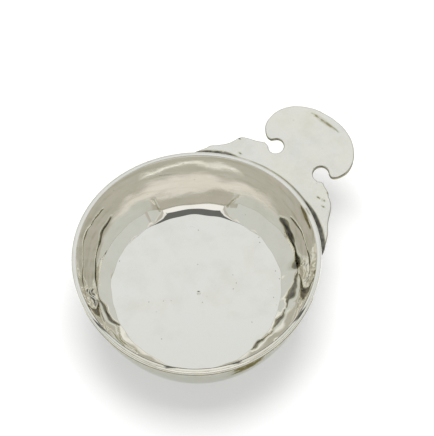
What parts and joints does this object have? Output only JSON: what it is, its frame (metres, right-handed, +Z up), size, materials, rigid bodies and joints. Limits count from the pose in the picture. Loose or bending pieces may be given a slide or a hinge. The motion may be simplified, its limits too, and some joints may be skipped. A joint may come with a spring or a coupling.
{
  "type": "tastevin",
  "caption": "Shallow round silver wine taster with a leaning wall, a wired lip and a flat shaped thumbpiece soldered on just below the lip.",
  "frame": {"origin": "on the bowl's axis, at the underside of its flat base, on the surface that it stands on", "axes": "+Z up out of the bowl, +X along the thumbpiece"},
  "size_m": [0.1182, 0.088, 0.0278],
  "materials": {
    "raised_silver": "old polished silver, hand hammered, with fine scratches",
    "wire_silver": "old polished silver, rubbed",
    "plate_silver": "old polished silver, satin from handling",
    "silver_solder": "dull, slightly tarnished silver solder"
  },
  "bodies": {
    "root": {"bowl": "raised_silver", "lip_wire": "wire_silver", "lip_solder": "silver_solder", "thumb_plate": "plate_silver", "plate_solder": "silver_solder"}
  },
  "joints": []
}
